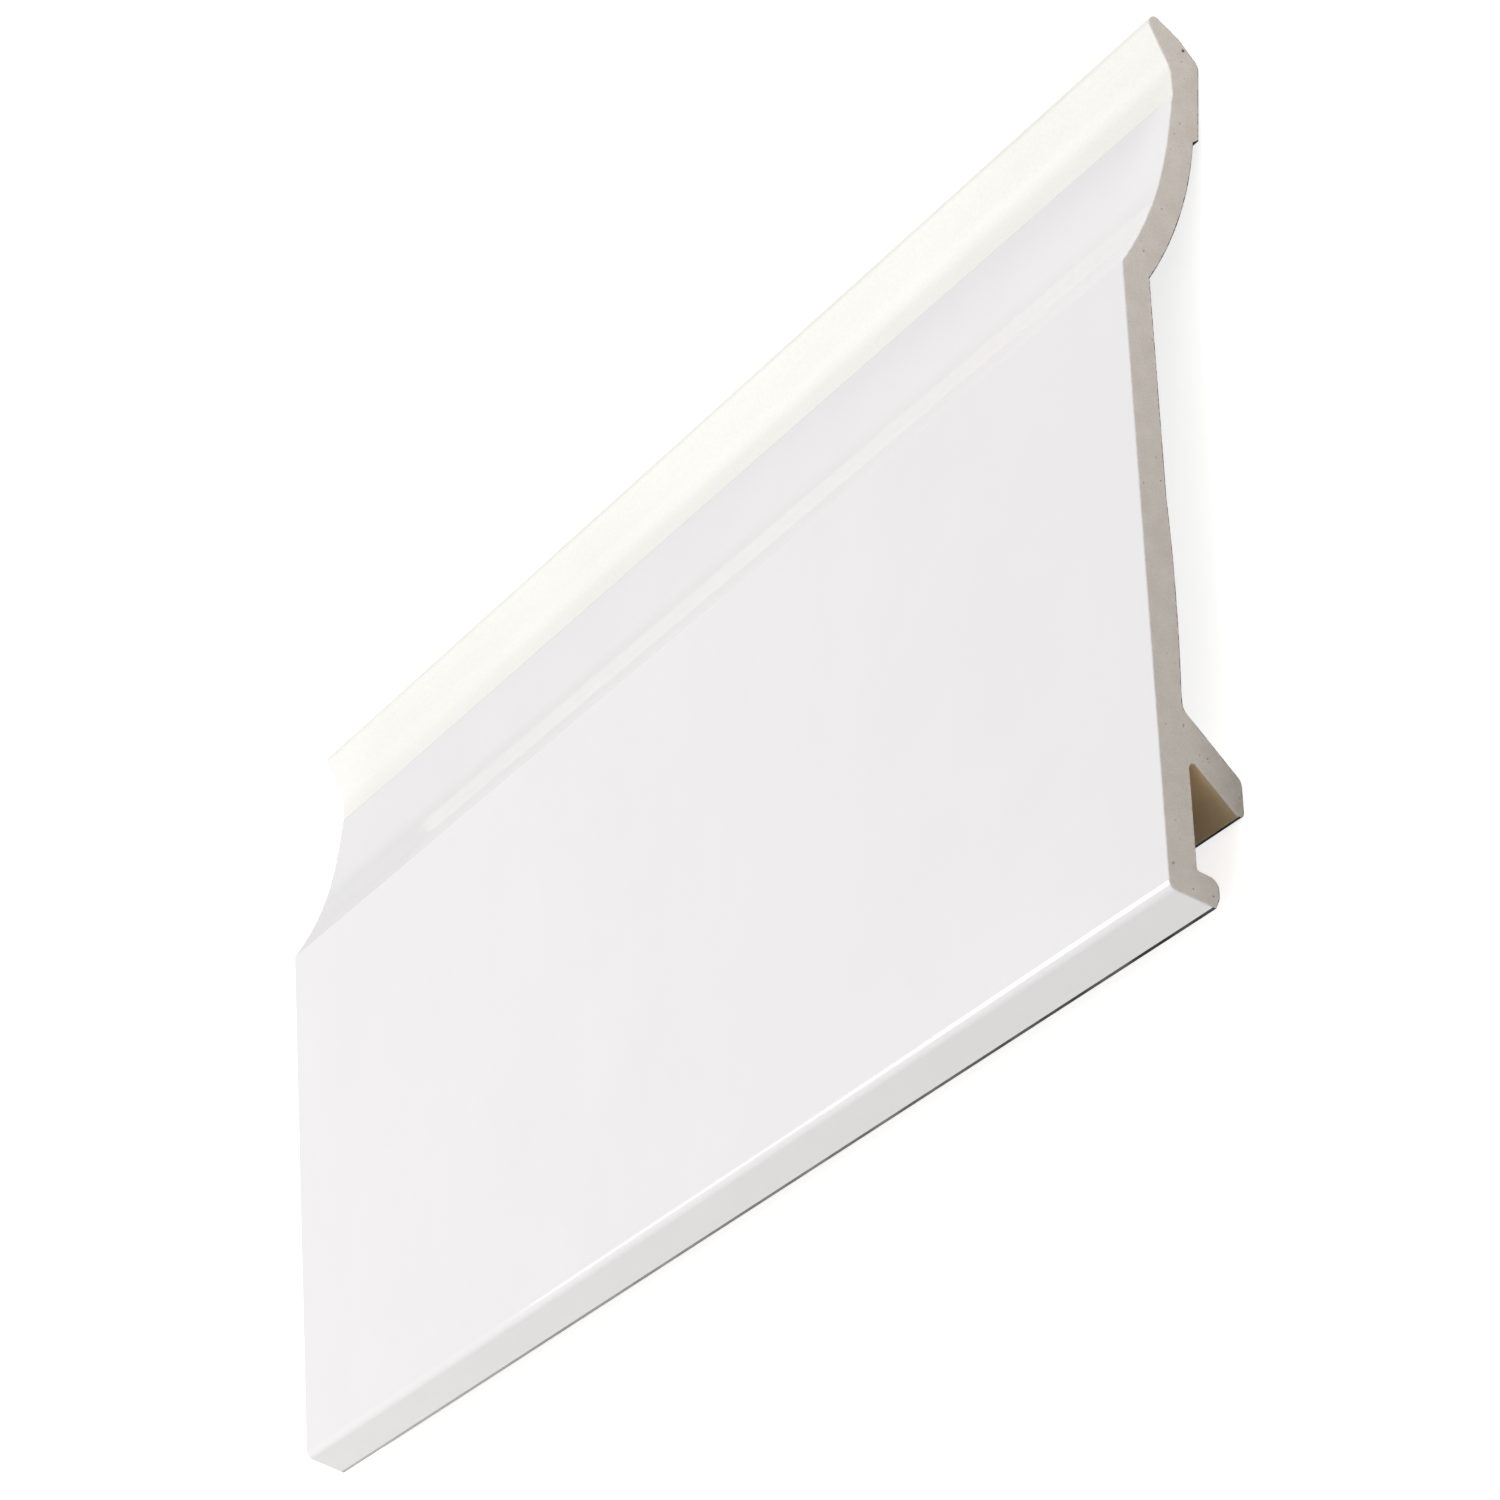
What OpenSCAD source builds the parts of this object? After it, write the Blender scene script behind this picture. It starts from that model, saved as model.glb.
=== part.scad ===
// Shiplap cladding board: one extruded section of white cellular PVC, sawn square at both ends.
// The section is drawn as installed, in [height, depth]: height runs up the wall from the bottom
// front corner, depth runs back from the face. The board is then laid on its back, face up, as a
// loose board lies: on the tip of its hook fin and on the heel of its tongue.
// +X runs along the board, +Y towards the tongue, +Z out of the face. The origin is on the floor,
// under the middle of the board.

/* [Board] */
// Length of the board
board_l = 400; // [100:10:3000]
// Height of the flat face, from the bottom corner to the crease
face_h = 119; // [70:1:260]
// Thickness of the wall, of the hook fin and of the lip
wall = 5.5; // [4.5:0.1:6.5]
// Thickness of the wall behind the scotia
scotia_wall = 6; // [5.5:0.1:6.8]
// Thickness of the wall between the fin and the lip
foot_wall = 5.85; // [5.5:0.05:6.5]
// Heights between which the back of the wall swells, above the fin
swell_low = 37; // [36:1:45]
swell_high = 74; // [60:1:90]
// Radius of that swelling
swell_r = 400; // [250:10:1200]

/* [Scotia] */
// Height of the concave scotia above the crease
scotia_h = 35.2; // [30:0.1:45]
// Depth by which the scotia sets the tongue back from the face
scotia_d = 13.15; // [11.5:0.05:15]
// Height of the scotia's middle above the crease
scotia_mid_h = 17.6; // [15:0.1:19]
// Depth of the scotia's middle
scotia_mid_d = 9.1; // [8:0.1:9.8]
// Radius of the scotia below its middle
scotia_low_r = 62; // [50:1:90]
// Radius of the scotia above its middle
scotia_high_r = 110; // [70:1:160]
// Radius of the scotia's back
scotia_back_r = 64; // [50:1:100]
// Height of the bevel where the white cap ends, at the top of the scotia
cap_h = 1; // [0.5:0.1:2]
// Depth of that bevel
cap_d = 0.3; // [0.1:0.05:0.5]

/* [Tongue] */
// Height of the flat land on the front of the tongue, above the scotia
land_h = 5.2; // [3.5:0.1:7]
// Thickness of the tongue at its heel
tongue_t = 6.1; // [5:0.1:7]
// Height of the tongue's heel above the scotia
heel_h = 6.85; // [6:0.05:8]
// Lean of the front of the tongue's tip, from the face's plane
nose_a = 23.3; // [18:0.1:26]
// Lean of the chamfer on the back of the tongue, next to its heel
chamfer_low_a = 37; // [33:1:42]
// Lean of the chamfer next to the tip
chamfer_a = 48.5; // [46:0.5:54]
// Height of the bend in the chamfer above the heel
brow_h = 4.7; // [3.5:0.1:5.5]
// Lean of the back of the tongue, from the face's plane
heel_a = 4.7; // [2:0.1:7]
// Length of the tongue's back below the scotia's top edge
ledge_drop = 8.5; // [6:0.1:11]
// Depth of the step under the tongue's back
ledge_step = 1.2; // [0.8:0.1:1.8]
// Rise of that step towards the tongue
ledge_rise = 0.6; // [0.2:0.1:1]
// Radius of the blend from the land to the nose
land_r = 6; // [3:0.5:10]
// Radius of the tongue's tip
tip_r = 1.3; // [0.8:0.05:1.5]
// Radius of the bend in the chamfer
brow_r = 6; // [2:0.5:10]
// Radius of the tongue's heel
heel_r = 3; // [1:0.5:4]

/* [Hook fin] */
// Height at which the fin leaves the back of the wall
fin_h = 33.7; // [31:0.1:35.5]
// Depth of the fin's back, which bears on the batten
fin_d = 16.2; // [14.5:0.05:17.5]
// Lean of the fin from the wall
fin_a = 41; // [37:1:44]
// Radius of the blend at the fin's root
fin_root_r = 3; // [1:0.5:5]
// Radius of the fin's shoulder
fin_shoulder_r = 2.8; // [1:0.2:4]
// Radius of the fin's tip
fin_tip_r = 0.95; // [0.5:0.05:1]
// Radius at the top of the groove
groove_r = 0.8; // [0.4:0.1:1.2]

/* [Lip] */
// Fall of the lip towards the back
lip_a = 18.6; // [12:0.1:24]
// Depth of the lip's rounded back
lip_d = 10; // [9.2:0.1:11]
// Depth of the lip's bottom rear corner
lip_foot_d = 9; // [8:0.1:9.5]
// Height of the lip's rear face
lip_back_h = 3.5; // [3:0.1:4]
// Radius of the lip's upper rear corner
lip_r = 2.6; // [1:0.1:2.8]
// Radius of the bend in the lip's rear face
lip_bend_r = 3; // [1:0.5:3]
// Radius of the lip's bottom rear corner
foot_r = 0.35; // [0.2:0.05:0.5]
// Radius of the fillet between the wall and the lip
lip_root_r = 0.8; // [0.4:0.1:1.2]
// Radius of the bottom front corner
nosing_r = 2; // [0.5:0.1:2.4]

/* [Hidden] */
board_colour = [0.95, 0.945, 0.95];
// Largest turn between two facets on the small roundings and on the scotia
round_step = 8;
scotia_step = 1;

function unit(v) = v / norm(v);
function turned(v, a) = [v.x * cos(a) - v.y * sin(a), v.x * sin(a) + v.y * cos(a)];
// Step of a line that leans back by a, going down the wall by h
function lean_down(h, a) = [-h, h * tan(a)];
// Where the line through p along u meets the line through q along v
function meet(p, u, q, v) = p + u * cross(q - p, v) / cross(u, v);

// Half the angle inside the corner p, between its neighbours a and b
function half_angle(a, p, b) = acos(unit(a - p) * unit(b - p)) / 2;
// Centre of the circle of radius r that rounds the corner p
function round_centre(a, p, b, r) = p + unit(unit(a - p) + unit(b - p)) * r / sin(half_angle(a, p, b));
// Points of the rounded corner p
function round_corner(a, p, b, r) =
    let (
        half = half_angle(a, p, b),
        centre = round_centre(a, p, b, r),
        start = p + unit(a - p) * r / tan(half) - centre,
        turn = (180 - 2 * half) * sign(cross(p - a, b - p)),
        n = max(2, ceil(abs(turn) / round_step))
    )
    [for (i = [0:n]) centre + turned(start, turn * i / n)];

// Points between the ends of the arc of radius r from a to b, as corners with no rounding.
// Its centre is on the left of the way from a to b when side is 1, and on the right when it is -1.
function arc_points(a, b, r, side) =
    let (
        half_chord = norm(b - a) / 2,
        inward = turned(unit(b - a), 90 * side),
        centre = (a + b) / 2 + inward * sqrt(r * r - half_chord * half_chord),
        sweep = 2 * side * asin(half_chord / r),
        n = ceil(abs(sweep) / scotia_step)
    )
    [for (i = [1:n - 1]) concat(centre + turned(a - centre, sweep * i / n), 0)];

// Scotia: its front runs up from the crease in two arcs, to the bevel where the white cap ends.
// Its back is one arc, down from under the tongue.
crease = [face_h, 0];
scotia_mid = crease + [scotia_mid_h, scotia_mid_d];
land_low = crease + [scotia_h, scotia_d];
cap_edge = land_low - [cap_h, cap_d];
scotia_mid_run = norm(scotia_mid - crease);
crease_turn = atan2(scotia_mid_d, scotia_mid_h) + asin(scotia_mid_run / (2 * scotia_low_r));
back_crease = [face_h - (scotia_wall - wall * cos(crease_turn)) / sin(crease_turn), wall];

// Tongue: the nose and the chamfer meet at the tip, and the chamfer and the back at the heel.
// The chamfer bends once, at the brow.
land_high = land_low + [land_h, 0];
heel = land_low + [heel_h, tongue_t];
brow = heel + lean_down(-brow_h, chamfer_low_a);
tip = meet(land_high, lean_down(-1, nose_a), brow, lean_down(-1, chamfer_a));
ledge_outer = heel + lean_down(heel_h + ledge_drop, -heel_a);
ledge_inner = ledge_outer - [ledge_rise, ledge_step];

// Back of the wall, where it swells above the fin
swell_top = [swell_high, wall];
swell_foot = [swell_low, wall];

// Fin: its two faces lean back from the wall, one wall thickness apart
fin_run = lean_down(1, fin_a);
fin_root = [fin_h, wall];
fin_inside = fin_root - [wall / sin(fin_a), 0];
groove_top = fin_inside + fin_run * (foot_wall - wall) / fin_run.y;
fin_shoulder = fin_root + fin_run * (fin_d - wall) / fin_run.y;
fin_tip = fin_inside + fin_run * (fin_d - wall) / fin_run.y;

// Lip: a flange of the same thickness, which falls towards the back
lip_fall = tan(lip_a);
lip_root = [wall / cos(lip_a) - foot_wall * lip_fall, foot_wall];
lip_shoulder = [wall / cos(lip_a) - lip_d * lip_fall, lip_d];
lip_bend = lip_shoulder - [lip_back_h, 0];
lip_foot = [-lip_foot_d * lip_fall, lip_foot_d];
nosing = [0, 0];

// The outline, each corner with its radius: up the front, over the tongue and down the back
corners = concat(
    [concat(nosing, nosing_r), concat(crease, 0)],
    arc_points(crease, scotia_mid, scotia_low_r, -1),
    [concat(scotia_mid, 0)],
    arc_points(scotia_mid, cap_edge, scotia_high_r, -1),
    [concat(cap_edge, 0), concat(land_low, 0), concat(land_high, land_r)],
    [concat(tip, tip_r), concat(brow, brow_r), concat(heel, heel_r)],
    [concat(ledge_outer, 0), concat(ledge_inner, 0)],
    arc_points(ledge_inner, back_crease, scotia_back_r, 1),
    [concat(back_crease, 0), concat(swell_top, 0)],
    arc_points(swell_top, swell_foot, swell_r, 1),
    [concat(swell_foot, 0), concat(fin_root, fin_root_r), concat(fin_shoulder, fin_shoulder_r)],
    [concat(fin_tip, fin_tip_r), concat(groove_top, groove_r), concat(lip_root, lip_root_r)],
    [concat(lip_shoulder, lip_r), concat(lip_bend, lip_bend_r), concat(lip_foot, foot_r)]
);
count = len(corners);
function place(i) = let (c = corners[(i + count) % count]) [c.x, c.y];
outline = [
    for (i = [0:count - 1])
        each corners[i].z > 0 ? round_corner(place(i - 1), place(i), place(i + 1), corners[i].z) : [place(i)]
];

// Lying on its back, the board touches the floor at the rounded fin tip and the rounded heel
fin_bearing = round_centre(fin_shoulder, fin_tip, groove_top, fin_tip_r);
heel_bearing = round_centre(brow, heel, ledge_outer, heel_r);
bearing_span = heel_bearing - fin_bearing;
rest_a = atan2(bearing_span.y, bearing_span.x) + asin((heel_r - fin_tip_r) / norm(bearing_span));
laid = [for (q = outline) turned([q.x, -q.y], rest_a)];
laid_y = [for (q = laid) q.x];
laid_z = [for (q = laid) q.y];
floor_mid = [(min(laid_y) + max(laid_y)) / 2, min(laid_z)];

module board() {
    color(board_colour)
        translate([-board_l / 2, 0, 0])
            rotate([90, 0, 90])
                linear_extrude(board_l)
                    translate(-floor_mid)
                        polygon(laid);
}

board();
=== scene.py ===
"""Looks of the shiplap cladding board: satin white skin, sawn foam ends, soft studio light."""

import math
import random

import bmesh
import bpy
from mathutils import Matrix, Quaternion, Vector
from mathutils.geometry import delaunay_2d_cdt


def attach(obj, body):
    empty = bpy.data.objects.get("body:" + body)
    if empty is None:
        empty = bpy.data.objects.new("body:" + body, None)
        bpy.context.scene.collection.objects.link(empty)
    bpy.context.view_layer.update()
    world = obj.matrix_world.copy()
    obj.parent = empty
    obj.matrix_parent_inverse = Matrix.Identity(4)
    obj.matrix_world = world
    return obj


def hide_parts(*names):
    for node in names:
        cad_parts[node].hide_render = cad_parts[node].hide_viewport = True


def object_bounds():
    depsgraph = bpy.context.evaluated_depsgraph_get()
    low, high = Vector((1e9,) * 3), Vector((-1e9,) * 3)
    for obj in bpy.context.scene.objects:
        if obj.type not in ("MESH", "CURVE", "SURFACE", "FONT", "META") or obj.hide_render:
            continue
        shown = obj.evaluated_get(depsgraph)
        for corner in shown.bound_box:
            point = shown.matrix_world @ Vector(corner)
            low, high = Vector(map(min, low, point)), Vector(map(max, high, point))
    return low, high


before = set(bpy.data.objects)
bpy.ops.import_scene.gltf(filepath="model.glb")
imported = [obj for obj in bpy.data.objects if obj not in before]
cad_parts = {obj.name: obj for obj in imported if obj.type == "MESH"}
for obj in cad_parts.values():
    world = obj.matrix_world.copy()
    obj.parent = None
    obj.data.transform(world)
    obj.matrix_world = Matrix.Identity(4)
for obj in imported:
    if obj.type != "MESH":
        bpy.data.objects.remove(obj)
cad_low, cad_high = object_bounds()

MM = 0.001

# Camera: it looks down on the board along its length, turned on its side as the photograph is
CAMERA_AIM = Vector((0.0057, 0.014593, 0.000128))
CAMERA_DISTANCE = 1.2964
CAMERA_BEARING = math.radians(-23.37)
CAMERA_HEIGHT = math.radians(24.23)
CAMERA_ROLL = math.radians(-81.76)
CAMERA_SENSOR = 36.0
CAMERA_LENS = 152.3

# Seed of the cut's grain, and the distance under which two places are one
SEED = 7
SAME_PLACE = 0.001 * MM
# Longest facet along the outline, and the shortest run that counts as a flat
FACET_LONGEST = 0.5 * MM
FLAT_SHORTEST = 1.6 * MM
# Turn that is always a corner. A smaller one is a kink where its neighbours turn much less.
SHARP_TURN = math.radians(12)
KINK_TURN = math.radians(3)
KINK_CONTRAST = 0.4
# Eased arris round the cut: its depth, its wider back edges, its longest burr in the groove,
# and how far its normals lean towards the end
ARRIS = 0.12 * MM
EDGE_WIDER = 1.7
BURR_LONGEST = 0.38 * MM
ARRIS_LEAN = 0.8
# Distance of the last full ring of points from each end
END_STRETCH = 3 * MM
# Cut: spacing of its points, depth of the saw's marks and of the pits, and width of its pale rim
CUT_GRID = 0.45 * MM
SAW_DEPTH = 0.035 * MM
PIT_COUNT = 46
PIT_DEPTH = 0.22 * MM
SKIN_DEPTH = 0.9 * MM
# Spread of the cut's points in their cells, and their clearance from the rim and from a mark's radius
CUT_SPREAD = (0.2, 0.8)
RIM_CLEARANCE = 0.55 * CUT_GRID
MARK_CLEARANCE = 1.6
# Rings of points round a mark, as shares of its radius
MARK_RINGS = (0.5, 0.9, 1.3)
RING_POINTS = 8
# Smallest and largest radius of a pit, in millimetres
PIT_RADII = (0.18, 0.5)
# Run of the saw's chatter, and of its wandering
CHATTER_RUN = 1.1 * MM
CHATTER_WANDER = 2.3 * MM

# Marks on the near cut, as (y, z), radius and darkness
NEAR_MARKS = (
    (Vector((80.33, 3.01)) * MM, 0.36 * MM, 1.0),
    (Vector((65.22, 4.63)) * MM, 0.28 * MM, 0.3),
    (Vector((-84.10, 7.19)) * MM, 0.25 * MM, 0.5),
    (Vector((-78.93, 14.76)) * MM, 0.25 * MM, 0.3),
)

# Places on the section, as (y, z), where one surface meets the next
LIP_FOOT = Vector((-86.44, 6.82)) * MM
LIP_BACK = Vector((-80.96, 5.93)) * MM
FIN_TIP = Vector((-68.60, 0.45)) * MM
LAND_LOW = Vector((70.84, 5.89)) * MM
LAND_BEND = Vector((76.04, 6.00)) * MM
CREASE = Vector((35.37, 18.32)) * MM
LEDGE = Vector((62.00, 1.70)) * MM
# Lengths on either side of the land's bend over which its shading turns
BEND_BEFORE = 3.6 * MM
BEND_AFTER = 2.6 * MM
# Extra lean of the scotia's shading, as (millimetres above the crease, degrees)
SCOTIA_LEAN = ((0.0, -13.0), (6.0, -7.6), (7.8, -1.6), (14.5, 2.4), (18.0, 0.6), (26.0, 0.0))
# Reach of the painted shade lines on the lip's foot, the fin's tip and the ledge
FOOT_LINE = 0.55 * MM
TIP_LINE = 0.75 * MM
LEDGE_LINE = 1.0 * MM

# Stretches over which a tone changes, as (start, end) along one of the board's axes
# Stretches of the painted light on the lip's underside
LIP_LIGHT_Y = (-83 * MM, -84 * MM)
LIP_LIGHT_Z = (14.6 * MM, 13.6 * MM)
# Stretches of the painted reflection and shade low in the scotia
SCOTIA_STREAK_X = (-139 * MM, -119 * MM)
SCOTIA_STREAK_Y = (35 * MM, 53 * MM)
# Stretch over which the nose's painted shade sets in
NOSE_SHADE_Y = (75.5 * MM, 79 * MM)
# Stretch over which the groove's painted shade deepens
GROOVE_SHADE_Z = (8 * MM, 0.5 * MM)
# Stretch along the board over which the painted shade line on the lower corners weakens
SHADE_LINE_X = (-200 * MM, 150 * MM)
# Stretches of the painted shade on the cut, down the fin and below the wall's middle
FIN_SHADE_Y = (-44 * MM, -56 * MM)
FIN_SHADE_Z = (10.5 * MM, 1.5 * MM)
LOW_SHADE_Y = (30 * MM, -30 * MM)
# Levels of the painted reflection and shade on the skin across the scotia's stretch, as (share of the
# stretch, level)
SCOTIA_STREAK_LEVELS = ((0.0, 1.0), (0.02, 1.035), (0.33, 1.035), (0.40, 0.955), (0.58, 0.955), (0.76, 1.0))
PLASTIC_IOR = 1.5

# Dome: its tone, its mean level, the side on which it is brighter, and by how much
DOME_TONE = 0.8
DOME_LEVEL = 0.71
DOME_BRIGHT_SIDE = Vector((-0.75, 0.0, 0.55))
DOME_CONTRAST = 0.22
# Height, as a sine, under which the dome is dimmer in reflections, and its level at the horizon
HORIZON_HEIGHT = 0.26
HORIZON_MIRRORED = 0.8
# Lamps, in watts
KEY_POWER = 9.2
OVERHEAD_POWER = 9.6
END_POWER = 1.9
LIP_POWER = 1.35
# Floor: its reach, its tone in light and in reflections, and the glow that the camera sees
FLOOR_REACH = 6.0
FLOOR_WHITE = 0.66
FLOOR_WHITE_MIRRORED = 0.56
FLOOR_GLOW_SEEN = 0.77
# Strip beyond the far end that carries the highlight along the nosing's far half
STRIP_CORNERS = ((-1.2, -0.20, 0.63), (-1.2, 0.12, 0.63), (-1.2, 0.12, 0.78), (-1.2, -0.20, 0.78))
STRIP_LEVEL = 3.4


def srgb(red, green, blue):
    """Linear colour of a tone given as 0 to 255."""

    def linear(level):
        level /= 255
        return level / 12.92 if level <= 0.04045 else ((level + 0.055) / 1.055) ** 2.4

    return (linear(red), linear(green), linear(blue), 1.0)


# Slots of the board's materials
# The last two slots are painted shade: dark lines along the cut's back arrises, and on the lip's foot,
# the fin's tip and the ledge
CAP, FOAM, GROOVE, CUT, SHADE_ARRIS, SHADE_LINE = range(6)


class Nodes:
    """Shorthand for building one node tree."""

    def __init__(self, tree):
        self.tree = tree
        tree.nodes.clear()

    def add(self, kind, **inputs):
        node = self.tree.nodes.new("ShaderNode" + kind)
        for name, value in inputs.items():
            if hasattr(node, name):
                setattr(node, name, value)
            else:
                self.plug(node, name.replace("_", " "), value)
        return node

    def plug(self, node, name, value):
        socket = node.inputs[int(name) if name.isdigit() else name]
        if isinstance(value, bpy.types.NodeSocket):
            self.tree.links.new(value, socket)
        else:
            socket.default_value = value


def blank_material(name):
    material = bpy.data.materials.new(name)
    material.use_nodes = True
    return material, Nodes(material.node_tree)


def ramp(nodes, factor, *stops):
    node = nodes.add("ValToRGB")
    nodes.plug(node, "Fac", factor)
    points = node.color_ramp.elements
    while len(points) < len(stops):
        points.new(0.5)
    for point, (place, tone) in zip(points, stops):
        point.position = place
        point.color = tone
    return node.outputs["Color"]


def grey(level):
    return (level, level, level, 1.0)


def noise(nodes, place, scale, detail=3.0, roughness=0.55):
    node = nodes.add("TexNoise")
    nodes.plug(node, "Vector", place)
    nodes.plug(node, "Scale", scale)
    nodes.plug(node, "Detail", detail)
    nodes.plug(node, "Roughness", roughness)
    return node.outputs["Fac"]


def stretched(nodes, place, scale):
    node = nodes.add("Mapping")
    nodes.plug(node, "Vector", place)
    nodes.plug(node, "Scale", scale)
    return node.outputs["Vector"]


def bump(nodes, height, distance, strength=1.0, normal=None):
    node = nodes.add("Bump")
    nodes.plug(node, "Height", height)
    nodes.plug(node, "Distance", distance)
    nodes.plug(node, "Strength", strength)
    if normal is not None:
        nodes.plug(node, "Normal", normal)
    return node.outputs["Normal"]


def mapped(nodes, value, source, target):
    """The value carried evenly from one (low, high) range to another, and held at its ends."""
    node = nodes.add("MapRange")
    nodes.plug(node, "Value", value)
    nodes.plug(node, "From Min", source[0])
    nodes.plug(node, "From Max", source[1])
    nodes.plug(node, "To Min", target[0])
    nodes.plug(node, "To Max", target[1])
    return node.outputs["Result"]


def fade(nodes, place, axis, stretch):
    """0 where the object's coordinate is at the stretch's start, and 1 where it is at its end."""
    split = nodes.add("SeparateXYZ")
    nodes.plug(split, "Vector", place)
    return mapped(nodes, split.outputs[axis], stretch, (0.0, 1.0))


def product(nodes, first, second):
    node = nodes.add("Math", operation="MULTIPLY")
    nodes.plug(node, "0", first)
    nodes.plug(node, "1", second)
    return node.outputs["Value"]


def mixed(nodes, share, first, second, blend_type="MIX"):
    node = nodes.add("MixRGB", blend_type=blend_type)
    nodes.plug(node, "Fac", share)
    nodes.plug(node, "Color1", first)
    nodes.plug(node, "Color2", second)
    return node.outputs["Color"]


def times(nodes, tone, shade):
    return mixed(nodes, 1.0, tone, shade, "MULTIPLY")


def show(nodes, result, kind="OutputMaterial"):
    nodes.plug(nodes.add(kind), "Surface", result)


def plastic(nodes, tone, roughness, specular, normal=None):
    """Plastic surface of the given tone, gloss and relief, as the material's result."""
    shader = nodes.add("BsdfPrincipled")
    nodes.plug(shader, "Base Color", tone)
    nodes.plug(shader, "Roughness", roughness)
    nodes.plug(shader, "Specular IOR Level", specular)
    nodes.plug(shader, "IOR", PLASTIC_IOR)
    if normal is not None:
        nodes.plug(shader, "Normal", normal)
    show(nodes, shader.outputs["BSDF"])


def lip_painted_light(nodes, place):
    """Painted light: the lip's underside is a little brighter and warmer than the face."""
    low = fade(nodes, place, "Y", LIP_LIGHT_Y)
    deep = fade(nodes, place, "Z", LIP_LIGHT_Z)
    return ramp(nodes, product(nodes, low, deep), (0.0, grey(1.0)), (1.0, (1.012, 1.017, 0.997, 1.0)))


def scotia_painted_streak(nodes, place):
    """Painted reflection and shade low in the scotia: the skin is a little paler beside the crease and
    duller above that.
    """
    across = fade(nodes, place, "Y", SCOTIA_STREAK_Y)
    tint = ramp(nodes, across, *((share, grey(level)) for share, level in SCOTIA_STREAK_LEVELS))
    return mixed(nodes, fade(nodes, place, "X", SCOTIA_STREAK_X), grey(1.0), tint)


def skin_material():
    """Satin white skin of the extrusion: faint die lines along it and a slow orange peel."""
    material, nodes = blank_material("pvc_skin")
    place = nodes.add("TexCoord").outputs["Object"]
    cloud = noise(nodes, place, 38.0, 4.0)
    die_lines = noise(nodes, stretched(nodes, place, (1.5, 900.0, 900.0)), 1.0, 2.0)
    peel = noise(nodes, place, 420.0, 2.0)
    tone = ramp(nodes, cloud, (0.3, srgb(239, 237, 238)), (0.7, srgb(241, 239, 240)))
    # Painted light on the lip's underside
    tone = times(nodes, tone, lip_painted_light(nodes, place))
    # Painted reflection and shade low in the scotia
    tone = times(nodes, tone, scotia_painted_streak(nodes, place))
    gloss = ramp(nodes, cloud, (0.25, grey(0.075)), (0.75, grey(0.09)))
    normal = bump(nodes, die_lines, 0.004 * MM, 0.5)
    normal = bump(nodes, peel, 0.01 * MM, 0.5, normal)
    plastic(nodes, tone, gloss, 0.5, normal)
    return material


def foam_skin_material(name, tone_low, tone_high, roughness, shade):
    """Uncapped foam as it left the die: cream, duller than the cap, with a fine orange peel."""
    material, nodes = blank_material(name)
    place = nodes.add("TexCoord").outputs["Object"]
    cloud = noise(nodes, stretched(nodes, place, (0.35, 1.0, 1.0)), 60.0, 4.0)
    grain = noise(nodes, place, 1500.0, 3.0, 0.7)
    die_lines = noise(nodes, stretched(nodes, place, (3.0, 1400.0, 1400.0)), 1.0, 2.0)
    foam = ramp(nodes, cloud, (0.3, tone_low), (0.7, tone_high))
    tone = times(nodes, foam, ramp(nodes, grain, (0.35, grey(0.95)), (0.65, grey(1.0))))
    # Painted light and shade, given for each foam
    tone = times(nodes, tone, shade(nodes, place))
    normal = bump(nodes, die_lines, 0.01 * MM, 0.5)
    normal = bump(nodes, grain, 0.02 * MM, 0.6, normal)
    plastic(nodes, tone, roughness, 0.24, normal)
    return material


def band_shade(nodes, place):
    """Painted light and shade: the land is a little brighter near the right end, and the nose duller
    than the land.
    """
    nose = fade(nodes, place, "Y", NOSE_SHADE_Y)
    along = fade(nodes, place, "X", (cad_low.x, cad_high.x))
    near = ramp(nodes, along, (0.0, grey(0.962)), (1.0, grey(1.0)))
    return mixed(nodes, nose, near, grey(0.925))


def band_material():
    return foam_skin_material("foam_skin", srgb(248, 246, 239), srgb(252, 250, 244), 0.33, band_shade)


def groove_shade(nodes, place):
    """Painted shade: the groove grows darker towards the fin's tip."""
    return ramp(nodes, fade(nodes, place, "Z", GROOVE_SHADE_Z), (0.0, grey(1.0)), (1.0, grey(0.5)))


def groove_material():
    # The groove's foam is browner and darker than the tongue's, partly as painted shade
    return foam_skin_material("foam_groove", srgb(220, 197, 161), srgb(230, 208, 173), 0.6, groove_shade)


def shade_arris_material():
    """Painted shade: a thin dull line along the back edges of the cut."""
    material, nodes = blank_material("painted_shade_arris")
    place = nodes.add("TexCoord").outputs["Object"]
    tone = ramp(nodes, noise(nodes, place, 700.0), (0.35, srgb(88, 80, 74)), (0.65, srgb(136, 126, 118)))
    plastic(nodes, tone, 0.9, 0.1)
    return material


def shade_line_material():
    """Painted shade: a dark green-black line on the corners that point down the wall, weaker towards the
    far end.
    """
    material, nodes = blank_material("painted_shade_line")
    place = nodes.add("TexCoord").outputs["Object"]
    patches = ramp(nodes, noise(nodes, place, 90.0), (0.3, grey(0.8)), (0.7, grey(1.0)))
    near = ramp(nodes, fade(nodes, place, "X", SHADE_LINE_X), (0.0, grey(0.35)), (1.0, grey(1.0)))
    tone = mixed(nodes, product(nodes, patches, near), srgb(225, 224, 222), srgb(30, 36, 31))
    plastic(nodes, tone, 0.8, 0.1)
    return material


def fin_shade(nodes, place):
    """Painted shade: the cut grows duller down the fin, a grey that multiplies the foam's tone."""
    low = fade(nodes, place, "Z", FIN_SHADE_Z)
    near = fade(nodes, place, "Y", FIN_SHADE_Y)
    return ramp(nodes, product(nodes, low, near), (0.0, grey(1.0)), (1.0, grey(0.77)))


def low_shade(nodes, place):
    """Painted shade: the cut is a little greyer below the middle of the wall."""
    low = fade(nodes, place, "Y", LOW_SHADE_Y)
    return ramp(nodes, low, (0.0, grey(1.0)), (1.0, (0.945, 0.945, 0.935, 1.0)))


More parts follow.
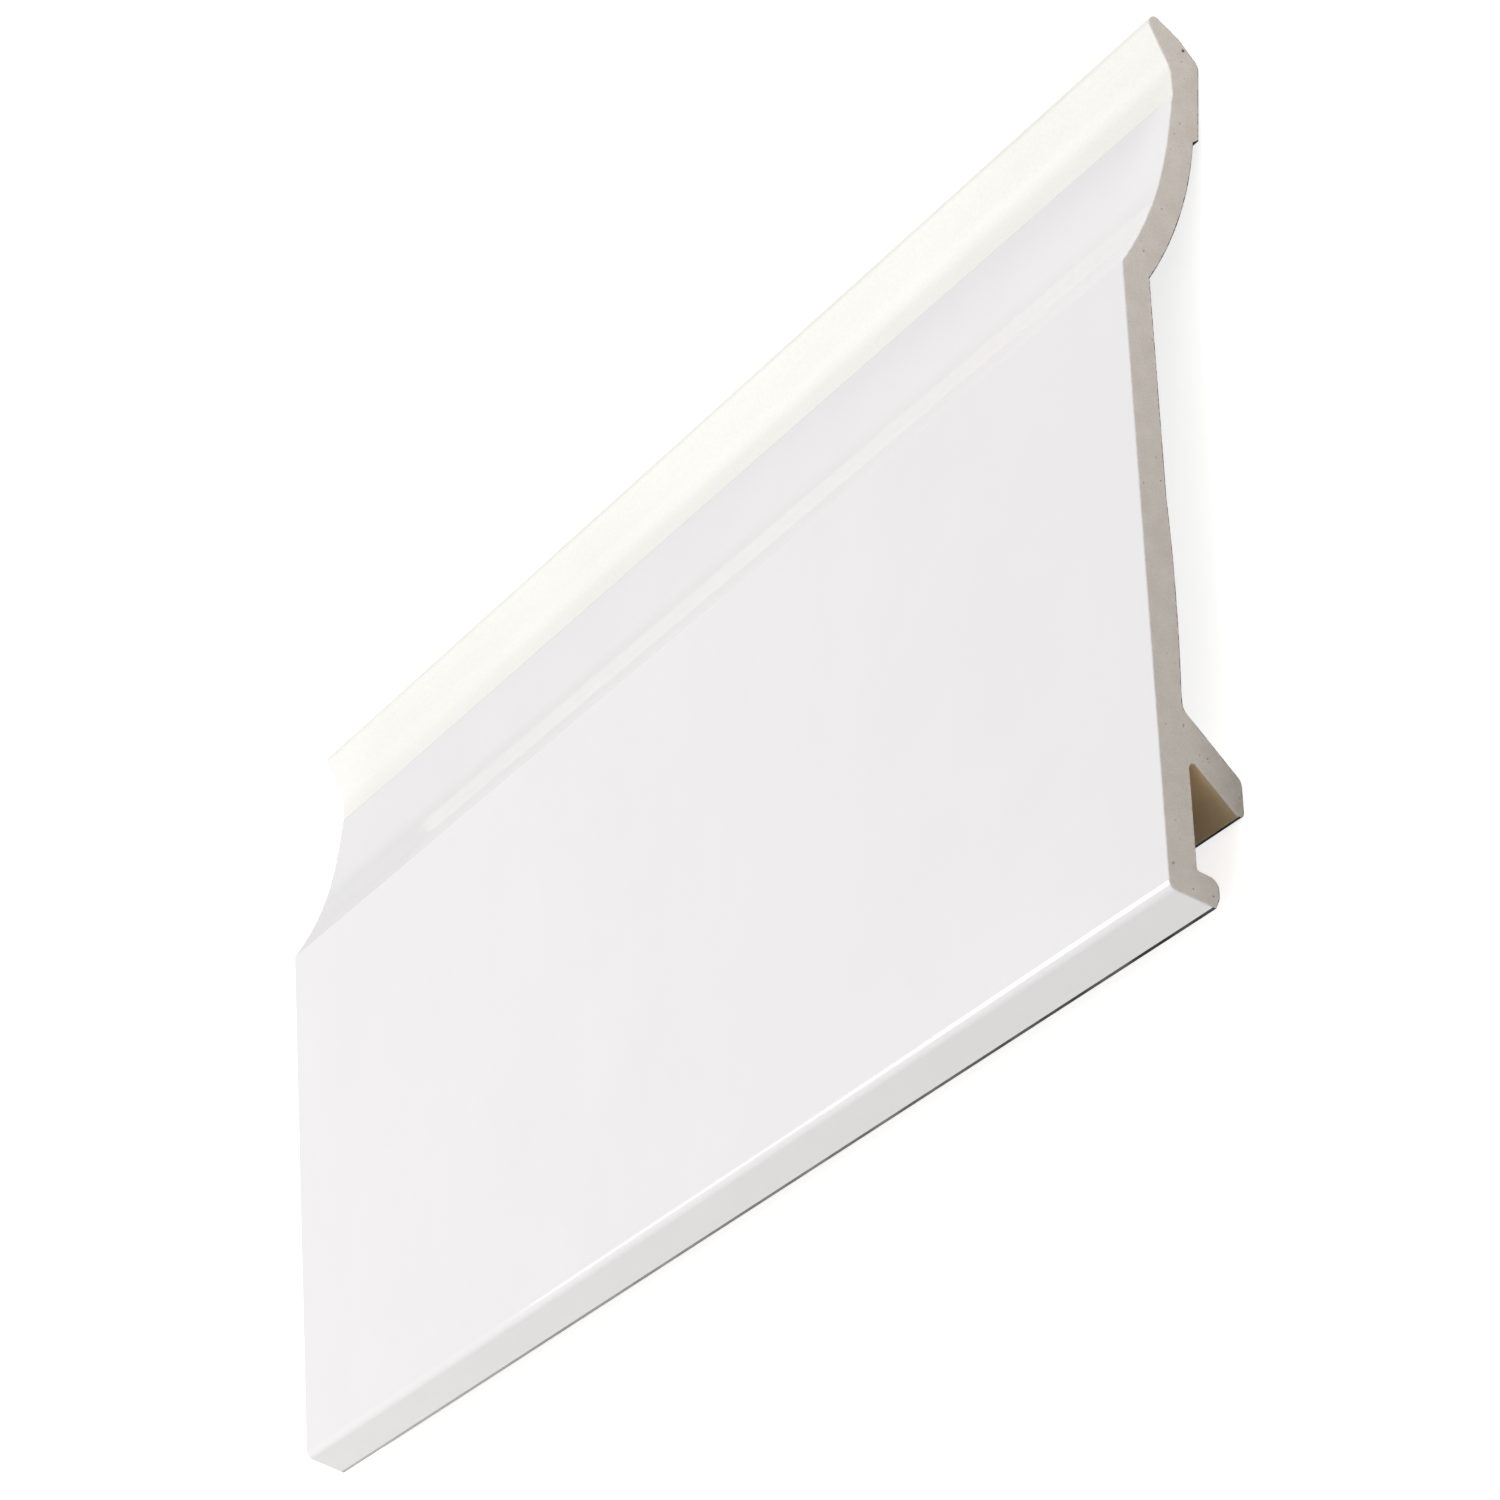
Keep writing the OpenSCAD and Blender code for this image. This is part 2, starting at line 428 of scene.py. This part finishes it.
def cut_material():
    """Sawn foam: beige and matt, with fine cells, brown specks, a few marks and a paler front rim."""
    material, nodes = blank_material("pvc_cut")
    place = nodes.add("TexCoord").outputs["Object"]
    rim = nodes.add("Attribute", attribute_name="rim").outputs["Fac"]
    mark = nodes.add("Attribute", attribute_name="mark").outputs["Fac"]
    cells = noise(nodes, place, 2600.0, 3.0, 0.7)
    blotches = noise(nodes, place, 260.0, 3.0)
    foam = ramp(nodes, blotches, (0.3, srgb(217, 209, 200)), (0.7, srgb(226, 218, 210)))
    tone = times(nodes, foam, ramp(nodes, cells, (0.3, grey(0.86)), (0.7, grey(1.0))))
    speck_cells = nodes.add("TexVoronoi")
    nodes.plug(speck_cells, "Vector", place)
    nodes.plug(speck_cells, "Scale", 900.0)
    speck_shape = ramp(nodes, speck_cells.outputs["Distance"], (0.10, grey(1.0)), (0.24, grey(0.0)))
    speck_pick = ramp(nodes, noise(nodes, place, 520.0, 1.0), (0.55, grey(0.0)), (0.66, grey(0.8)))
    tone = mixed(nodes, product(nodes, speck_shape, speck_pick), tone, srgb(150, 132, 116))
    tone = mixed(nodes, ramp(nodes, rim, (0.0, grey(0.6)), (0.3, grey(0.0))), tone, srgb(236, 232, 227))
    # Painted shade on the cut: duller down the fin and greyer below the wall's middle
    tone = times(nodes, tone, fin_shade(nodes, place))
    tone = times(nodes, tone, low_shade(nodes, place))
    tone = mixed(nodes, mark, tone, srgb(40, 30, 24))
    plastic(nodes, tone, 0.85, 0.25, bump(nodes, cells, 0.06 * MM, 0.6))
    return material


def section_outline(node):
    """The section's outline at the right end of the CAD board, as ordered (y, z) points."""
    mesh = bmesh.new()
    mesh.from_mesh(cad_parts[node].data)
    bmesh.ops.remove_doubles(mesh, verts=mesh.verts, dist=SAME_PLACE)
    end = max(v.co.x for v in mesh.verts)
    cap = {f for f in mesh.faces if min(v.co.x for v in f.verts) > end - SAME_PLACE}
    rim = [e for e in mesh.edges if sum(f in cap for f in e.link_faces) == 1]
    follow = {}
    for edge in rim:
        a, b = edge.verts
        follow.setdefault(a, []).append(b)
        follow.setdefault(b, []).append(a)
    start = min(follow, key=lambda v: v.co.y)
    loop = [start]
    before, here = start, follow[start][0]
    while here is not start:
        loop.append(here)
        step = [v for v in follow[here] if v is not before][0]
        before, here = here, step
    points = [Vector((v.co.y, v.co.z)) for v in loop]
    mesh.free()
    area = sum(a.x * b.y - b.x * a.y for a, b in zip(points, points[1:] + points[:1])) / 2
    if area < 0:
        points.reverse()
    return points


def outline_normals(points):
    """For each corner, the outward normals before and after it, equal where the outline is smooth."""
    count = len(points)
    runs = [points[(i + 1) % count] - points[i] for i in range(count)]
    turns = [abs(runs[i - 1].angle_signed(runs[i])) for i in range(count)]

    def across(run):
        return Vector((run.y, -run.x)).normalized()

    def near_turn(i):
        sides = []
        if runs[i - 1].length < FLAT_SHORTEST:
            sides.append(turns[i - 1])
        if runs[i].length < FLAT_SHORTEST:
            sides.append(turns[(i + 1) % count])
        return max(sides, default=turns[i])

    pairs = []
    for i in range(count):
        before, after = across(runs[i - 1]), across(runs[i])
        kink = turns[i] > KINK_TURN and near_turn(i) < KINK_CONTRAST * turns[i]
        if turns[i] > SHARP_TURN or kink:
            pairs.append((before, after))
            continue
        if runs[i - 1].length >= FLAT_SHORTEST:
            shared = before
        elif runs[i].length >= FLAT_SHORTEST:
            shared = after
        else:
            shared = (before + after).normalized()
        pairs.append((shared, shared))
    return pairs


def fine_outline(points, pairs):
    """The same outline with its flats cut into short runs: (place, normal before, normal after)."""
    fine = []
    count = len(points)
    for i in range(count):
        a, b = points[i], points[(i + 1) % count]
        steps = max(1, math.ceil((b - a).length / FACET_LONGEST))
        fine.append((a, pairs[i][0], pairs[i][1]))
        for s in range(1, steps):
            share = s / steps
            across = pairs[i][1].lerp(pairs[(i + 1) % count][0], share).normalized()
            fine.append((a.lerp(b, share), across, across))
    return fine


def soften_bend(outline, place, reach_before, reach_after):
    """Turn the normals evenly over a length on either side of the bend nearest a place."""
    count = len(outline)
    middle = min(range(count), key=lambda i: (outline[i][0] - place).length)

    def reached(step, reach):
        i, gone = middle, 0.0
        while gone < reach:
            gone += (outline[(i + step) % count][0] - outline[i % count][0]).length
            i += step
        return i

    first, last = reached(-1, reach_before), reached(1, reach_after)
    start, end = outline[first % count][2], outline[last % count][1]
    lengths = [0.0]
    for i in range(first, last):
        lengths.append(lengths[-1] + (outline[(i + 1) % count][0] - outline[i % count][0]).length)
    for i in range(first + 1, last):
        across = start.lerp(end, lengths[i - first] / lengths[-1]).normalized()
        outline[i % count] = (outline[i % count][0], across, across)


def lean_scotia(outline):
    """Lean the shading low in the scotia, so that it mirrors the tongue where the photograph does."""
    count = len(outline)
    i = min(range(count), key=lambda k: (outline[k][0] - CREASE).length)
    gone = 0.0
    while gone < SCOTIA_LEAN[-1][0] * MM:
        before = (i - 1) % count
        gone += (outline[before][0] - outline[i][0]).length
        i = before
        place, across, _ = outline[i]
        for (start, first), (end, last) in zip(SCOTIA_LEAN, SCOTIA_LEAN[1:]):
            if start <= gone / MM < end:
                lean = math.radians(first + (last - first) * (gone / MM - start) / (end - start))
                turn = math.atan2(across.x, across.y) + lean
                across = Vector((math.sin(turn), math.cos(turn)))
                outline[i] = (place, across, across)
                break


def inset(outline, depth):
    """Outline moved inwards by a depth given for each of its points."""
    moved = []
    for (place, before, after), d in zip(outline, depth):
        mean = (before + after).normalized()
        moved.append(place - mean * d / max(0.5, mean.dot(before)))
    return moved


def inside(point, polygon):
    odd = False
    for a, b in zip(polygon, polygon[1:] + polygon[:1]):
        if (a.y > point.y) != (b.y > point.y):
            if point.x < a.x + (point.y - a.y) * (b.x - a.x) / (b.y - a.y):
                odd = not odd
    return odd


class EdgeFinder:
    """Distance from a point to the outline, through a coarse grid of its points."""

    def __init__(self, points, cell):
        self.cell = cell
        self.bins = {}
        for p in points:
            self.bins.setdefault(self.key(p), []).append(p)

    def key(self, p):
        return (math.floor(p.x / self.cell), math.floor(p.y / self.cell))

    def distance(self, p):
        column, row = self.key(p)
        near = [
            (p - q).length
            for i in (-1, 0, 1)
            for j in (-1, 0, 1)
            for q in self.bins.get((column + i, row + j), [])
        ]
        return min(near, default=self.cell)


def mark_rings(marks):
    """Extra points that give each mark on the cut a round shape."""
    places = []
    for centre, radius, _ in marks:
        places.append(centre)
        for ring, reach in enumerate(MARK_RINGS):
            for k in range(RING_POINTS):
                turn = math.tau * (k + ring % 2 / 2) / RING_POINTS
                places.append(centre + Vector((math.cos(turn), math.sin(turn))) * radius * reach)
    return places


def darkness(place, marks):
    """Strength of the mark at a place on the cut: 1 in a black one, 0 away from all."""
    shares = [0.0]
    for centre, radius, dark in marks:
        reach = (place - centre).length / radius
        shares.append(dark * math.exp(-2 * reach**4))
    return max(shares)


def sawn_end(ring, rng, marks):
    """Flat triangulation of the cut inside the ring: places, triangles and distances to the ring."""
    low = Vector((min(p.x for p in ring), min(p.y for p in ring)))
    high = Vector((max(p.x for p in ring), max(p.y for p in ring)))
    finder = EdgeFinder(ring, 1.2 * SKIN_DEPTH)
    places = list(ring) + mark_rings(marks)
    columns = int((high.x - low.x) / CUT_GRID)
    rows = int((high.y - low.y) / CUT_GRID)
    for i in range(columns):
        for j in range(rows):
            offset = Vector((i + rng.uniform(*CUT_SPREAD), j + rng.uniform(*CUT_SPREAD))) * CUT_GRID
            p = low + offset
            in_mark = any((p - centre).length < MARK_CLEARANCE * radius for centre, radius, _ in marks)
            if not in_mark and finder.distance(p) > RIM_CLEARANCE and inside(p, ring):
                places.append(p)
    count = len(ring)
    edges = [(i, (i + 1) % count) for i in range(count)]
    result = delaunay_2d_cdt(places, edges, [list(range(count))], 1, 1e-7)
    places, triangles, origin = result[0], result[2], result[3]
    order = {olds[0]: new for new, olds in enumerate(origin) if olds}
    rim_order = [order[i] for i in range(count)]
    return places, triangles, rim_order, [finder.distance(p) for p in places]


def saw_relief(places, depths, rng, marks):
    """How far each point of the cut lies below the saw's plane: fine chatter and a few open cells."""
    pits = [(rng.choice(places), rng.uniform(*PIT_RADII) * MM) for _ in range(PIT_COUNT)]
    pits += [(centre, radius) for centre, radius, _ in marks]
    relief = []
    for p, depth in zip(places, depths):
        chatter = 0.5 + 0.5 * math.sin(p.x / CHATTER_RUN + 0.6 * math.sin(p.y / CHATTER_WANDER))
        fall = SAW_DEPTH * (0.55 * chatter + 0.45 * rng.random())
        for centre, radius in pits:
            reach = (p - centre).length / radius
            if reach < 2:
                fall += PIT_DEPTH * math.exp(-2 * reach * reach)
        relief.append(fall * min(1.0, depth / (0.5 * SKIN_DEPTH)))
    return relief


def surfaces(outline):
    """Material of each run of the outline: cap in front, foam behind and on the tongue, groove, and
    painted shade lines at the lip's foot, the fin's tip and the ledge.
    """
    count = len(outline)

    def nearest(place):
        return min(range(count), key=lambda i: (outline[i][0] - place).length)

    # Corners that get a dark line of painted shade, with its reach
    lines = ((LIP_FOOT, FOOT_LINE), (FIN_TIP, TIP_LINE), (LEDGE, LEDGE_LINE))
    foot, back, tip, land = (nearest(p) for p in (LIP_FOOT, LIP_BACK, FIN_TIP, LAND_LOW))
    kinds = [CAP] * count
    for i in range(count):
        past_foot = (i - foot) % count
        if past_foot < (land - foot) % count:
            kinds[i] = FOAM
        if (back - foot) % count <= past_foot < (tip - foot) % count:
            kinds[i] = GROOVE
        middle = (outline[i][0] + outline[(i + 1) % count][0]) / 2
        # Dark line of painted shade near the lip's foot, the fin's tip and the ledge
        if any((middle - corner).length < reach for corner, reach in lines):
            kinds[i] = SHADE_LINE
    return kinds


def faces_front(outline, i):
    return outline[i][2].y > 0


def arris_kind(kind, front):
    """Material of the eased edge round the cut, next to a surface of the given kind."""
    if kind == GROOVE:
        return CUT
    # The foam's back edges get a dark line of painted shade
    return SHADE_ARRIS if kind == FOAM and not front else kind


def leaned(across, lean):
    """Normal of the side, leaned by a share towards an end of the board."""
    return Vector((lean, across.x, across.y)).normalized()


def placed(name, data):
    """A new object in the scene, made of the given mesh, lamp or camera."""
    piece = bpy.data.objects.new(name, data)
    bpy.context.collection.objects.link(piece)
    return piece


class Skin:
    """Growing mesh of the board's skin, with a material and normals for each face."""

    def __init__(self):
        self.verts, self.faces, self.kinds, self.normals = [], [], [], []
        self.shares = {"rim": [], "mark": []}

    def add_points(self, places, rim, mark):
        self.verts += places
        self.shares["rim"] += rim
        self.shares["mark"] += mark

    def add_face(self, corners, kind, normals):
        self.faces.append(corners)
        self.kinds.append(kind)
        self.normals += normals

    def piece(self, name, materials):
        mesh = bpy.data.meshes.new(name)
        mesh.from_pydata(self.verts, [], self.faces)
        for material in materials:
            mesh.materials.append(material)
        for polygon, kind in zip(mesh.polygons, self.kinds):
            polygon.material_index = kind
            polygon.use_smooth = True
        for share, levels in self.shares.items():
            mesh.attributes.new(share, "FLOAT", "POINT").data.foreach_set("value", levels)
        mesh.normals_split_custom_set(self.normals)
        return placed(name, mesh)


def arris_depths(outline, kinds, rng):
    """Depth of the eased and slightly ragged arris at each point of the outline."""
    depths = [ARRIS * (0.6 + 0.8 * rng.random()) for _ in outline]
    for i, kind in enumerate(kinds):
        if kind == GROOVE:
            depths[i] = max(depths[i], BURR_LONGEST * rng.random() ** 2)
        elif arris_kind(kind, faces_front(outline, i)) == SHADE_ARRIS:
            # Back edges that carry the painted shade line are eased wider
            depths[i] *= EDGE_WIDER
    return depths


def ring_stations():
    """Places along the board where its sides have a ring of points."""
    half = cad_high.x
    outer, inner = half - 1.5 * ARRIS, half - END_STRETCH
    return [-outer, -inner, -half / 2, 0.0, half / 2, inner, outer]


def add_sides(skin, outline, kinds, stations):
    """The board's long surfaces, as strips between rings of points."""
    count = len(outline)
    for x in stations:
        skin.add_points([(x, p.x, p.y) for p, _, _ in outline], [0.0] * count, [0.0] * count)
    for s in range(len(stations) - 1):
        a, b = s * count, (s + 1) * count
        for i in range(count):
            n = (i + 1) % count
            first, second = leaned(outline[i][2], 0), leaned(outline[n][1], 0)
            skin.add_face((a + i, a + n, b + n, b + i), kinds[i], [first, second, second, first])


def add_cut(skin, outline, kinds, depths, side, start, rng):
    """The sawn end at +X (side 1) or -X (side -1), and its eased arris from the ring at start."""
    count = len(outline)
    ring = inset(outline, depths)
    marks = NEAR_MARKS if side > 0 else ()
    places, triangles, rim, from_rim = sawn_end(ring, rng, marks)
    relief = saw_relief(places, from_rim, rng, marks)
    front = EdgeFinder([p for i, p in enumerate(ring) if faces_front(outline, i)], SKIN_DEPTH)
    base = len(skin.verts)
    skin.add_points(
        [(side * (cad_high.x - fall), p.x, p.y) for p, fall in zip(places, relief)],
        [min(1.0, front.distance(p) / SKIN_DEPTH) for p in places],
        [darkness(p, marks) for p in places],
    )
    for triangle in triangles:
        corners = [base + k for k in triangle]
        skin.add_face(corners[::side], CUT, [Vector((side, 0, 0))] * len(corners))
    turn = (0, 1, 2, 3) if side > 0 else (1, 0, 3, 2)
    for i in range(count):
        n = (i + 1) % count
        corners = (start + i, start + n, base + rim[n], base + rim[i])
        first = leaned(outline[i][2], side * ARRIS_LEAN)
        second = leaned(outline[n][1], side * ARRIS_LEAN)
        normals = (first, second, second, first)
        kind = arris_kind(kinds[i], faces_front(outline, i))
        skin.add_face([corners[k] for k in turn], kind, [normals[k] for k in turn])


def board_piece(materials):
    """The board with eased arrises, split normals at its true corners and sawn foam ends."""
    rng = random.Random(SEED)
    points = section_outline("board")
    outline = fine_outline(points, outline_normals(points))
    soften_bend(outline, LAND_BEND, BEND_BEFORE, BEND_AFTER)
    lean_scotia(outline)
    kinds = surfaces(outline)
    depths = arris_depths(outline, kinds, rng)
    stations = ring_stations()
    skin = Skin()
    add_sides(skin, outline, kinds, stations)
    add_cut(skin, outline, kinds, depths, -1, 0, rng)
    add_cut(skin, outline, kinds, depths, 1, (len(stations) - 1) * len(outline), rng)
    return skin.piece("board_skin", materials)


def flat_piece(name, corners, material):
    mesh = bpy.data.meshes.new(name)
    mesh.from_pydata(corners, [], [tuple(range(len(corners)))])
    mesh.materials.append(material)
    piece = placed(name, mesh)
    return piece


def floor_material():
    """Pale floor: its glow lifts it to white for the camera, and it keeps the board's shadow."""
    material, nodes = blank_material("floor_white")
    path = nodes.add("LightPath")
    tone = mixed(nodes, path.outputs["Is Glossy Ray"], grey(FLOOR_WHITE), grey(FLOOR_WHITE_MIRRORED))
    seen = product(nodes, path.outputs["Is Camera Ray"], FLOOR_GLOW_SEEN)
    both = nodes.add("AddShader")
    nodes.plug(both, "0", nodes.add("BsdfDiffuse", Color=tone).outputs["BSDF"])
    nodes.plug(both, "1", nodes.add("Emission", Color=grey(1.0), Strength=seen).outputs["Emission"])
    show(nodes, both.outputs["Shader"])
    return material


def glow_material(name, level):
    material, nodes = blank_material(name)
    show(nodes, nodes.add("Emission", Color=grey(1.0), Strength=level).outputs["Emission"])
    return material


def set_floor():
    reach = FLOOR_REACH
    corners = [(-reach, -reach, 0.0), (reach, -reach, 0.0), (reach, reach, 0.0), (-reach, reach, 0.0)]
    flat_piece("floor", corners, floor_material())


def set_card():
    """Card that only shows as a reflection in the glossy skin."""
    card = flat_piece("strip", STRIP_CORNERS, glow_material("strip_glow", STRIP_LEVEL))
    card.visible_camera = False
    card.visible_diffuse = False
    card.visible_shadow = False


def heading(bearing, height):
    """Unit vector at a bearing from +X towards +Y and at a height over the horizon."""
    level = math.cos(height)
    return Vector((level * math.cos(bearing), level * math.sin(bearing), math.sin(height)))


def softbox(name, bearing, height, distance, size, power, tone=(1.0, 1.0, 1.0)):
    """Area lamp aimed at the board's middle, with its bearing and height in degrees."""
    lamp = bpy.data.lights.new(name, "AREA")
    lamp.shape = "RECTANGLE"
    lamp.size, lamp.size_y = size
    lamp.energy = power
    lamp.color = tone
    piece = placed(name, lamp)
    piece.location = heading(math.radians(bearing), math.radians(height)) * distance
    piece.rotation_euler = (-piece.location).to_track_quat("-Z", "Y").to_euler()
    return piece


def dome():
    """Soft white dome: brighter on one side, dimmer in reflections near the horizon, white when seen."""
    world = bpy.data.worlds.new("studio")
    world.use_nodes = True
    bpy.context.scene.world = world
    nodes = Nodes(world.node_tree)
    path = nodes.add("LightPath")
    way = nodes.add("TexCoord").outputs["Generated"]
    side = nodes.add("VectorMath", operation="DOT_PRODUCT")
    nodes.plug(side, "0", way)
    nodes.plug(side, "1", DOME_BRIGHT_SIDE.normalized())
    levels = (DOME_LEVEL - DOME_CONTRAST, DOME_LEVEL + DOME_CONTRAST)
    level = mapped(nodes, side.outputs["Value"], (-1.0, 1.0), levels)
    rise = fade(nodes, way, "Z", (0.0, HORIZON_HEIGHT))
    dim = mapped(nodes, rise, (0.0, 1.0), (DOME_TONE * HORIZON_MIRRORED, DOME_TONE))
    tone = mixed(nodes, path.outputs["Is Glossy Ray"], grey(DOME_TONE), dim)
    light = nodes.add("Background", Color=tone, Strength=level)
    white = nodes.add("Background", Color=grey(1.0), Strength=1.0)
    seen = nodes.add("MixShader")
    nodes.plug(seen, "0", path.outputs["Is Camera Ray"])
    nodes.plug(seen, "1", light.outputs["Background"])
    nodes.plug(seen, "2", white.outputs["Background"])
    show(nodes, seen.outputs["Shader"], "OutputWorld")


def studio():
    """The dome, a softbox beyond the far end, one overhead, and fills on the cut and on the lip."""
    dome()
    softbox("key", bearing=176, height=43, distance=1.7, size=(0.78, 0.60), power=KEY_POWER)
    softbox("overhead", bearing=-60, height=75, distance=2.4, size=(1.8, 1.8), power=OVERHEAD_POWER)
    warm = (1.0, 0.98, 0.95)
    softbox("end_fill", bearing=50, height=5, distance=0.8, size=(0.3, 0.10), power=END_POWER, tone=warm)
    lip = softbox("lip_fill", bearing=235, height=8, distance=1.0, size=(0.5, 0.15), power=LIP_POWER)
    lip.visible_glossy = False


def camera():
    data = bpy.data.cameras.new("camera")
    data.sensor_width = CAMERA_SENSOR
    data.lens = CAMERA_LENS
    data.clip_end = 50
    piece = placed("camera", data)
    away = heading(CAMERA_BEARING, CAMERA_HEIGHT)
    piece.location = CAMERA_AIM + away * CAMERA_DISTANCE
    turn = (-away).to_track_quat("-Z", "Y") @ Quaternion((0, 0, 1), CAMERA_ROLL)
    piece.rotation_euler = turn.to_euler()
    bpy.context.scene.camera = piece


camera()
studio()
set_floor()
set_card()
board = board_piece(
    [
        skin_material(),
        band_material(),
        groove_material(),
        cut_material(),
        shade_arris_material(),
        shade_line_material(),
    ]
)
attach(board, "root")
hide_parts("board")

bpy.context.scene.view_settings.view_transform = "Standard"
